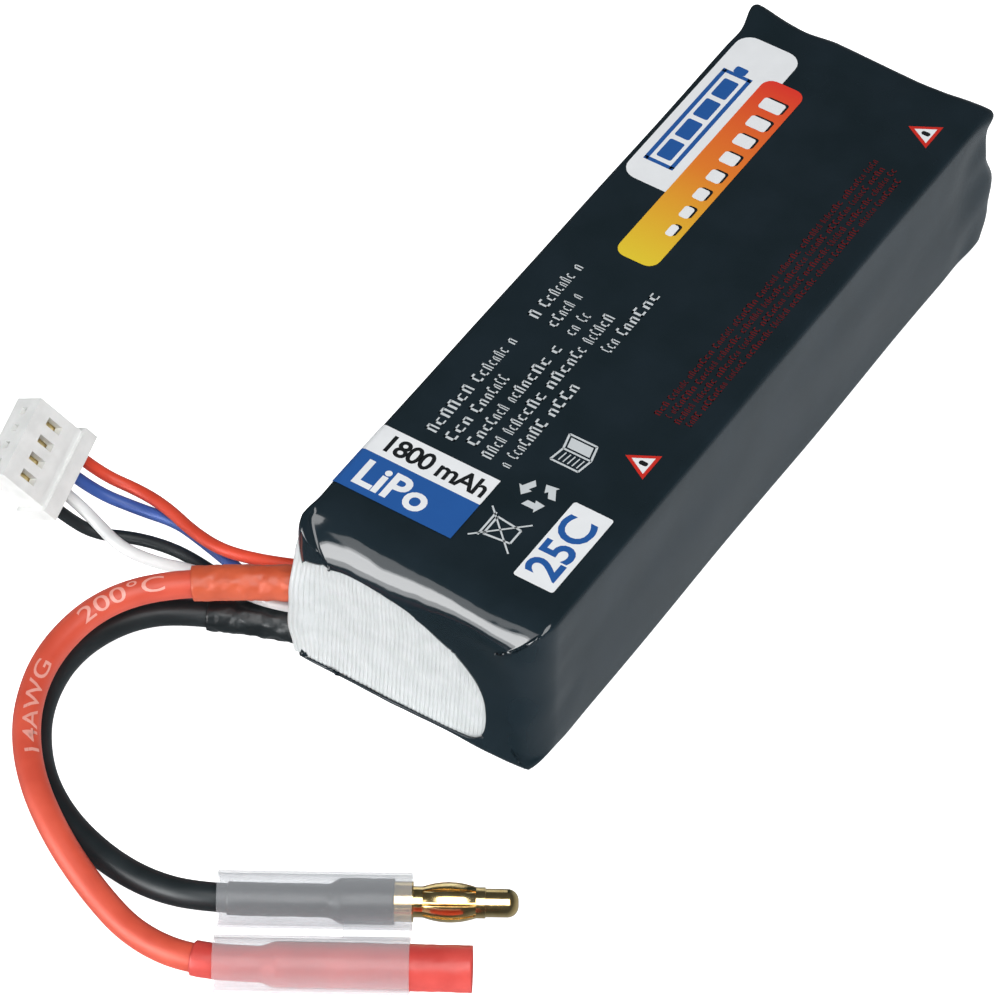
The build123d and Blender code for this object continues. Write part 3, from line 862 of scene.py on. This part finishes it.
def triangle(x, y, reach, z):
    """An upright triangle round a middle point."""
    corners = [math.radians(angle) for angle in (90, 210, 330)]
    return polygon([(x + reach * math.cos(a), y + reach * math.sin(a)) for a in corners], z)


def make_cautions(white, red, dark_red, black):
    """Two plain triangles and four lines of small print between them."""
    z = FILM_HEIGHT + PRINT_LIFT
    lines = ((-0.0147, 0.0376), (-0.0143, 0.0371), (-0.0146, 0.0377), (-0.0142, 0.0360))
    strokes = []
    for i, (start, end) in enumerate(lines):
        strokes += greeked_line(start, -0.0102 - i * 0.0014, z, end - start, 0.0009, i * 23 + 3)
    joined_piece("small_print_red", strokes, dark_red)
    y = -0.0127
    for number, x in enumerate((-0.0224, 0.0453), 1):
        border = triangle(x, y, 0.0026, z)
        field = triangle(x, y, 0.0017, z + PRINT_STEP)
        mark = panel(x - 0.00035, x + 0.00035, y - 0.0006, y + 0.0006, z + 2 * PRINT_STEP, 0.0003)
        joined_piece(f"caution_border_{number}", [border], red)
        joined_piece(f"caution_field_{number}", [field], white)
        joined_piece(f"caution_mark_{number}", [mark], black)


def make_icons(white):
    """A leaflet, a ring of three arrows and a crossed-out bin, each in a few plain strokes."""
    z = FILM_HEIGHT + PRINT_LIFT
    line = 0.00028
    parts = []
    left = (-0.0279, -0.0068)
    fold = (-0.0256, -0.0072)
    right = (-0.0232, -0.0066)
    for a, b in ((left, fold), (fold, right)):
        parts.append(bar(a, b, line, z))
        parts.append(bar((a[0], a[1] + 0.0040), (b[0], b[1] + 0.0040), line, z))
    for corner in (left, fold, right):
        parts.append(bar(corner, (corner[0], corner[1] + 0.0040), line, z))
    for k in range(5):
        y = -0.0063 + k * 0.00065
        parts.append(bar((-0.0275, y), (-0.0260, y - 0.0002), line * 0.6, z))
    picture = [(-0.0252, -0.0067), (-0.0236, -0.0063), (-0.0236, -0.0031), (-0.0252, -0.0035)]
    parts.append(polygon(picture, z))
    middle = Vector((-0.0337, -0.0047))
    arrow = (
        (0.0024, -52), (0.0024, -8), (0.0029, -8), (0.0020, 30),
        (0.0009, -8), (0.0014, -8), (0.0014, -52),
    )
    for k in range(3):
        turn = math.radians(90 + 120 * k)
        corners = []
        for radius, angle in arrow:
            a = turn + math.radians(angle)
            corners.append((middle.x + radius * math.cos(a), middle.y + radius * math.sin(a)))
        parts.append(polygon(corners, z))
    bin_x = -0.0408
    bin_y = -0.0040
    outline = [(-0.0012, -0.0022), (0.0012, -0.0022), (0.0016, 0.0014), (-0.0016, 0.0014)]
    bin_strokes = [(a, b, line) for a, b in zip(outline, outline[1:] + outline[:1])]
    bin_strokes.append(((-0.0021, 0.0019), (0.0021, 0.0019), line))
    bin_strokes.append(((-0.0027, -0.0029), (0.0027, 0.0029), line * 0.8))
    bin_strokes.append(((0.0027, -0.0029), (-0.0027, 0.0029), line * 0.8))
    for a, b, width in bin_strokes:
        parts.append(bar((bin_x + a[0], bin_y + a[1]), (bin_x + b[0], bin_y + b[1]), width, z))
    joined_piece("icon_strokes", parts, white)


def make_badge(white, blue, warm, black):
    """A plain panel with a battery pictogram, beside a bar from yellow to red with level marks."""
    z = FILM_HEIGHT + PRINT_LIFT
    ground = bend_over_edge(panel(0.0182, 0.0485, 0.0075, 0.0166, z, 0.0022))
    joined_piece("badge_panel", [ground], white)
    z += PRINT_STEP
    parts = []
    low = Vector((0.0222, 0.0113))
    high = Vector((0.0412, 0.0151))
    corners = [(low.x, low.y), (high.x, low.y), (high.x, high.y), (low.x, high.y)]
    for a, b in zip(corners, corners[1:] + corners[:1]):
        parts.append(bar(a, b, 0.0006, z))
    for x, y in corners:
        parts.append(panel(x - 0.0003, x + 0.0003, y - 0.0003, y + 0.0003, z))
    terminal = (high.x + 0.0003, high.x + 0.0016, low.y + 0.0010, high.y - 0.0010)
    parts.append(panel(*terminal, z, 0.0003))
    for k in range(4):
        x = low.x + 0.0010 + k * 0.0044
        parts.append(panel(x, x + 0.0036, low.y + 0.0008, high.y - 0.0008, z, 0.0003))
    joined_piece("badge_battery", parts, blue)
    z += PRINT_STEP
    joined_piece("badge_bar", [panel(0.0058, 0.0430, 0.0037, 0.0097, z, 0.0016)], warm)
    shadows = []
    marks = []
    for k in range(8):
        x = 0.0118 + k * 0.0037
        rise = 0.0011 + 0.0003 * k
        for group, shift, lift in ((shadows, 0.0003, 1), (marks, 0.0, 2)):
            group.append(panel(
                x + shift, x + 0.0021 + shift, 0.0048 - shift, 0.0048 + rise - shift,
                z + lift * PRINT_STEP, 0.0004,
            ))
    joined_piece("badge_mark_shadows", shadows, black)
    joined_piece("badge_marks", marks, white)


def warm_bar_material():
    material = Material("print_warm", (0.9, 0.4, 0.05), 0.14)
    parts = material.add("ShaderNodeSeparateXYZ")
    material.link(material.place(), parts.inputs["Vector"])
    along = material.add("ShaderNodeMapRange")
    along.inputs["From Min"].default_value = 0.006
    along.inputs["From Max"].default_value = 0.043
    material.link(parts.outputs["X"], along.inputs["Value"])
    ramp = material.add("ShaderNodeValToRGB")
    material.link(along.outputs["Result"], ramp.inputs["Fac"])
    ramp.color_ramp.elements[0].color = (0.80, 0.60, 0.04, 1)
    ramp.color_ramp.elements[1].color = (0.76, 0.045, 0.03, 1)
    middle = ramp.color_ramp.elements.new(0.5)
    middle.color = (0.80, 0.22, 0.03, 1)
    material.link(ramp.outputs["Color"], material.shader.inputs["Base Color"])
    material.bump(material.noise(260, 2), 0.00003)
    return material.data


def print_material(name, color, roughness=0.16):
    material = Material(name, color, roughness)
    low = tuple(channel * 0.96 for channel in color)
    material.vary_color(300, low, color)
    material.bump(material.noise(260, 2), 0.00003)
    return material.data


# ---- frame nodes that keep their shape --------------------------------------------------------
def dress(name, material, edge=0.0):
    """Gives a frame node its material, and rounds its edges a little."""
    obj = nodes_by_name[name]
    if obj.material_slots:
        for slot in obj.material_slots:
            slot.link = "OBJECT"
            slot.material = material
    else:
        obj.data.materials.append(material)
    if edge:
        bevel = obj.modifiers.new("edge", "BEVEL")
        bevel.width = edge
        bevel.segments = 3
        bevel.limit_method = "ANGLE"
        bevel.angle_limit = math.radians(35)
        bevel.use_clamp_overlap = True
    return obj


# ---- surroundings -----------------------------------------------------------------------------
def make_floor():
    mesh = bpy.data.meshes.new("floor")
    half = 4.0
    z = -0.0001
    corners = [(-half, -half, z), (half, -half, z), (half, half, z), (-half, half, z)]
    mesh.from_pydata(corners, [], [(0, 1, 2, 3)])
    floor = bpy.data.objects.new("floor", mesh)
    scene.collection.objects.link(floor)
    material = Material("floor_white", (0.9, 0.9, 0.9), 0.8)
    material.shader.inputs["Emission Color"].default_value = (1, 1, 1, 1)
    material.shader.inputs["Emission Strength"].default_value = 0.95
    material.vary_roughness(3, 0.75, 0.85)
    floor.data.materials.append(material.data)
    floor.visible_glossy = False


def make_light(name, place, target, width, height, power, lights_diffuse=True):
    data = bpy.data.lights.new(name, "AREA")
    data.shape = "RECTANGLE"
    data.size = width
    data.size_y = height
    data.energy = power
    light = bpy.data.objects.new(name, data)
    scene.collection.objects.link(light)
    light.location = place
    light.visible_camera = False
    light.visible_diffuse = lights_diffuse
    light.rotation_euler = (Vector(target) - Vector(place)).to_track_quat("-Z", "Y").to_euler()


def make_world():
    world = bpy.data.worlds.new("world")
    scene.world = world
    world.use_nodes = True
    nodes = world.node_tree.nodes
    links = world.node_tree.links
    background = nodes["Background"]
    background.inputs["Color"].default_value = (0.90, 0.95, 1.0, 1)
    place = nodes.new("ShaderNodeTexCoord")
    toward = nodes.new("ShaderNodeVectorMath")
    toward.operation = "DOT_PRODUCT"
    toward.inputs[1].default_value = (0.551, -0.366, -0.75)
    links.new(place.outputs["Generated"], toward.inputs[0])
    glow = nodes.new("ShaderNodeMapRange")
    glow.inputs["From Min"].default_value = 0.1
    glow.inputs["From Max"].default_value = 1.0
    glow.inputs["To Min"].default_value = 0.06
    glow.inputs["To Max"].default_value = 0.42
    links.new(toward.outputs["Value"], glow.inputs["Value"])
    links.new(glow.outputs["Result"], background.inputs["Strength"])


# ---- making -----------------------------------------------------------------------------------
make_camera()
make_world()
scene.view_settings.view_transform = "Standard"

red_silicone = silicone("silicone_red", (0.62, 0.080, 0.045), (0.72, 0.105, 0.06))
black_silicone = silicone("silicone_black", (0.010, 0.015, 0.017), (0.016, 0.022, 0.025))
wire_materials = {
    "red": silicone("wire_red", (0.62, 0.055, 0.025), (0.74, 0.075, 0.038)),
    "blue": silicone("wire_blue", (0.035, 0.085, 0.32), (0.055, 0.125, 0.43)),
    "white": silicone("wire_white", (0.66, 0.68, 0.68), (0.80, 0.82, 0.82)),
    "black": silicone("wire_black", (0.009, 0.012, 0.014), (0.015, 0.020, 0.022)),
}
lead_positive = make_cord(
    "lead_positive", LEAD_POSITIVE_ROUTE, LEAD_DIAMETER,
    red_silicone, "power_lead_positive",
)
lead_negative = make_cord(
    "lead_negative", LEAD_NEGATIVE_ROUTE, LEAD_DIAMETER,
    black_silicone, "power_lead_negative",
)
wires = {}
for colour, route in BALANCE_ROUTES.items():
    wires[colour] = make_cord(
        f"wire_{colour}", route, WIRE_DIAMETER,
        wire_materials[colour], f"balance_wire_{colour}",
    )

orange_red_shrink = shrink("shrink_orange_red", (0.54, 0.085, 0.034), (0.64, 0.115, 0.05))
red_shrink = shrink("shrink_red", (0.58, 0.058, 0.048), (0.68, 0.080, 0.066))
black_shrink = shrink("shrink_black", (0.009, 0.013, 0.015), (0.016, 0.021, 0.023), 0.34)
frames_positive = path_frames(path_of(lead_positive))
frames_negative = path_frames(path_of(lead_negative))


def in_guard(side, along):
    """A test for the first point past a place on the plug's or the socket's axis."""
    mark = Vector(axis_point(side, along))
    return lambda point: point.x < -0.085 and point.y < 0.01 and (point - mark).dot(guard_along) > 0


out_positive = distance_where(frames_positive, lambda point: point.y > WIRE_EXIT_Y)
out_negative = distance_where(frames_negative, lambda point: point.y > WIRE_EXIT_Y)
exit_sleeve_positive = make_sleeve(
    "exit_sleeve_red", frames_positive, out_positive - 0.0010, out_positive + 0.0140,
    lambda s: 0.00222 + 0.00012 * smoothstep(0.004, 0.0, s), 0.00016, Vector((1, 2, 3)),
    orange_red_shrink, ["exit_sleeve_positive"],
)
exit_sleeve_negative = make_sleeve(
    "exit_sleeve_black", frames_negative, out_negative - 0.0010, out_negative + 0.0125,
    lambda s: 0.00212 + 0.00018 * smoothstep(0.005, 0.0, s), 0.00020, Vector((4, 9, 2)),
    black_shrink, ["exit_sleeve_negative"],
)
plug_start = distance_where(frames_negative, in_guard(1, 0.0))
socket_start = distance_where(frames_positive, in_guard(-1, 0.0))
plug_sleeve = make_sleeve(
    "plug_shrink", frames_negative, plug_start + 0.0004, plug_start + 0.0201,
    lambda s: 0.00200 + 0.00075 * smoothstep(0.0118, 0.0136, s), 0.00005, Vector((7, 1, 5)),
    black_shrink, ["plug_sleeve"],
)
socket_sleeve = make_sleeve(
    "socket_shrink", frames_positive, socket_start - 0.0031, socket_start + 0.0296,
    lambda s: 0.00215 + 0.00063 * smoothstep(0.0075, 0.0100, s), 0.00006, Vector((3, 8, 6)),
    red_shrink, ["socket_sleeve"],
)

pale_print = print_material("print_pink", (0.82, 0.36, 0.30), 0.4)
lead_print(
    "lead_rating_print", frames_positive,
    [
        ("200°C", out_positive + 0.0292, math.radians(-22), 0.0020),
        ("14AWG", out_positive + 0.0515, math.radians(-18), 0.0019),
    ],
    LEAD_DIAMETER / 2 + 0.00006, pale_print,
)

make_film(film_material())
make_end_tape(tape_material())

print_white = print_material("print_white", (0.86, 0.88, 0.90))
print_grey = print_material("print_grey", (0.62, 0.66, 0.68))
print_blue = print_material("print_blue", (0.022, 0.105, 0.36))
print_red = print_material("print_red", (0.62, 0.03, 0.02))
print_dark_red = print_material("print_dark_red", (0.13, 0.012, 0.014))
print_black = print_material("print_black", (0.012, 0.014, 0.016))
make_capacity_label(print_white, print_blue, print_black)
make_rating_label(print_white, print_blue)
make_specification(print_grey)
make_cautions(print_white, print_red, print_dark_red, print_black)
make_icons(print_grey)
make_badge(print_white, print_blue, warm_bar_material(), print_black)

gold_material = gold()
contact_material = plain("contact_plate", (0.92, 0.76, 0.40), 0.3, 1.0)
solder_material = plain("solder", (0.62, 0.62, 0.63), 0.3, 1.0)
foil_material = plain("pouch_foil", (0.62, 0.63, 0.64), 0.34, 1.0, 200)
aluminium_material = plain("tab_aluminium", (0.78, 0.78, 0.79), 0.3, 1.0)
nickel_material = plain("tab_nickel", (0.60, 0.57, 0.52), 0.28, 1.0)
adhesive_material = plain("adhesive", (0.72, 0.70, 0.62), 0.6)
board_material = plain("board", (0.02, 0.14, 0.06), 0.35)
foam_material = plain("foam", (0.03, 0.03, 0.03), 0.9, 0.0, 900, 0.4)
copper_material = plain("copper_strand", (0.70, 0.32, 0.18), 0.3, 1.0, 1500)
dress("plug_pin", gold_material, 0.00015)
dress("plug_cage", gold_material)
dress("socket_barrel", gold_material, 0.00015)
dress("twin_guard", clear_vinyl(), 0.00012)
dress("balance_housing", nylon(), 0.00015)
for number in range(4):
    dress(f"balance_contact_{number + 1}", contact_material, 0.00006)
inner_looks = {
    "cell_pouch": (foil_material, 0.0),
    "cell_tab_positive": (aluminium_material, 0.0),
    "cell_tab_negative": (nickel_material, 0.0),
    "adhesive_pad": (adhesive_material, 0.0),
    "solder_joint": (solder_material, 0.0004),
    "lead_core_end": (copper_material, 0.0),
}
for name in nodes_by_name:
    for family, (material, edge) in inner_looks.items():
        if name.startswith(family):
            dress(name, material, edge)
dress("connection_board", board_material, 0.0001)
dress("rear_foam_pad", foam_material, 0.0002)
dress("rear_end_tape", tape_material())

# ---- the free-hanging balance wires' centre lines, read from their splines; the floor and the lamps ---
for number, colour in enumerate(BALANCE_ORDER):
    points = path_of(wires[colour])

make_floor()
make_light("front_softbox", (-0.52, 0.20, 0.10), (-0.05, 0, 0.02), 0.50, 0.34, 3.4, lights_diffuse=False)
make_light("front_strip", (-0.51, 0.20, 0.13), (-0.05, 0, 0.02), 0.40, 0.20, 1.9, lights_diffuse=False)
make_light("overhead", (-0.50, -0.35, 1.0), (-0.02, 0, 0), 0.9, 0.9, 15)
make_light("side_fill", (-0.9, 0.6, 0.7), (-0.05, 0.02, 0), 0.5, 0.5, 2)
